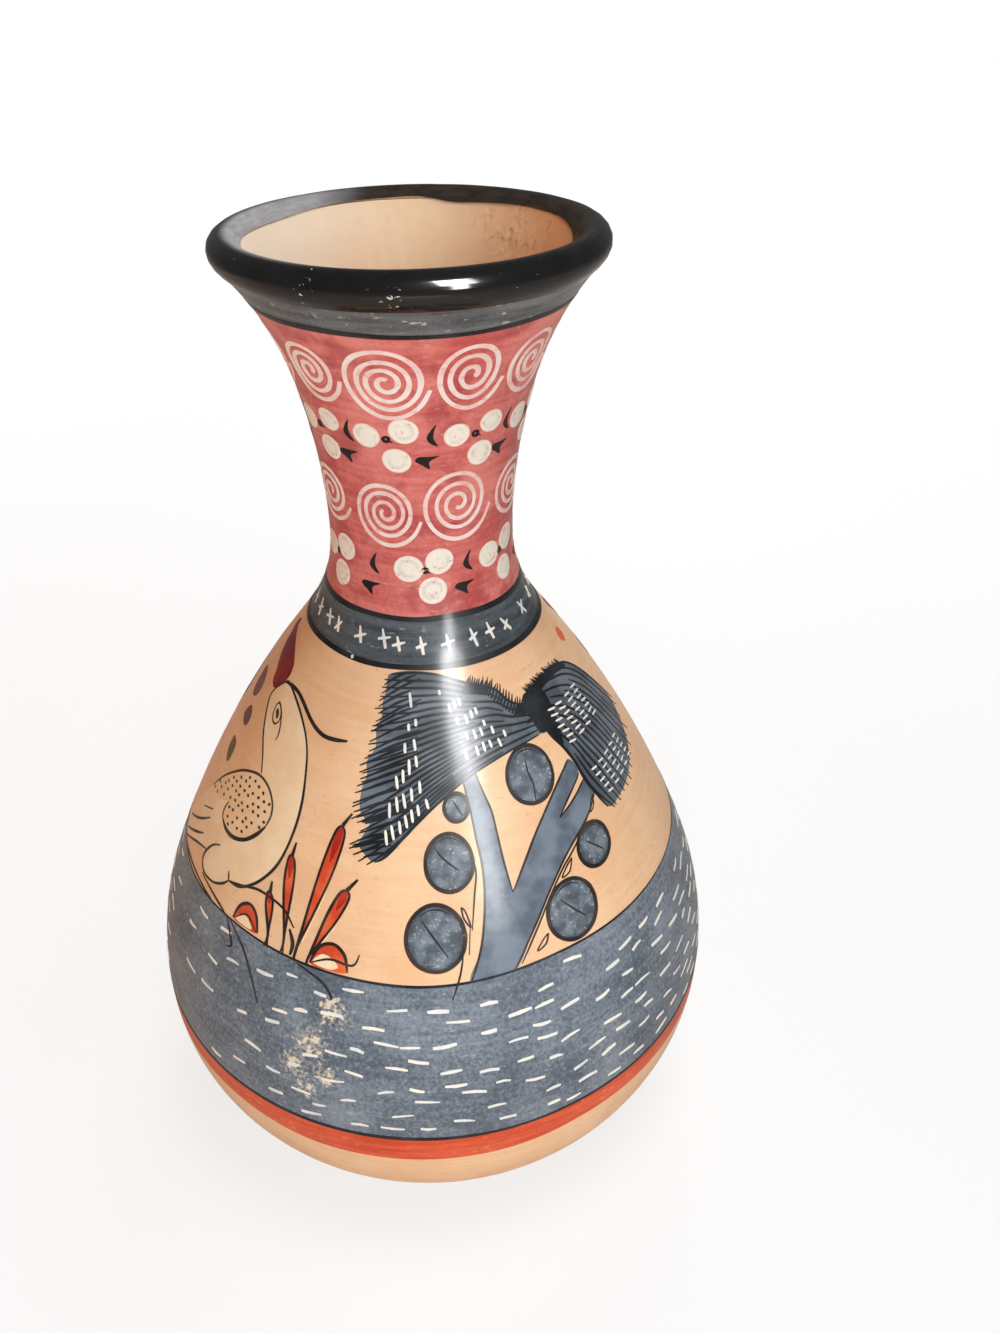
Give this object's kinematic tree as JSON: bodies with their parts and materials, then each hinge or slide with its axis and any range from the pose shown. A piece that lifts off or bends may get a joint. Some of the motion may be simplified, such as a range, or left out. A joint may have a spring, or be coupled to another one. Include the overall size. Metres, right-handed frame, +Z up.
{
  "type": "pottery vase",
  "caption": "Free-standing hand-built earthenware vase: low round belly, waisted neck, flared mouth with a coiled rim, burnished and painted in slip with bands, spirals, palms and a bird.",
  "frame": {"origin": "centre of the flat foot, on the surface that the vase stands on", "axes": "+Z up along the vase's axis, -Y towards the side with the painted bird and palms"},
  "size_m": [0.1385, 0.1384, 0.2182],
  "materials": {
    "clay": "bare low-fired buff earthenware, tooled by hand",
    "buff_slip": "buff slip, burnished to a soft sheen",
    "red_slip": "brick-red slip, burnished",
    "orange_slip": "orange-red slip, burnished",
    "blue_grey_slip": "blue-grey slip, streaky and rubbed",
    "black_slip": "black slip, burnished glossy",
    "cream_slip": "cream-white slip, thin brush strokes"
  },
  "bodies": {
    "root": {"lower_body": "clay", "belly_lute": "clay", "shoulder": "clay", "neck_lute": "clay", "neck": "clay", "rim_lute": "clay", "rim_coil": "clay", "heel_slip": "buff_slip", "foot_stripe": "orange_slip", "ground_slip": "blue_grey_slip", "body_slip": "buff_slip", "collar_slip": "blue_grey_slip", "neck_slip": "red_slip", "rim_band_slip": "blue_grey_slip", "lip_slip": "black_slip"}
  },
  "joints": []
}
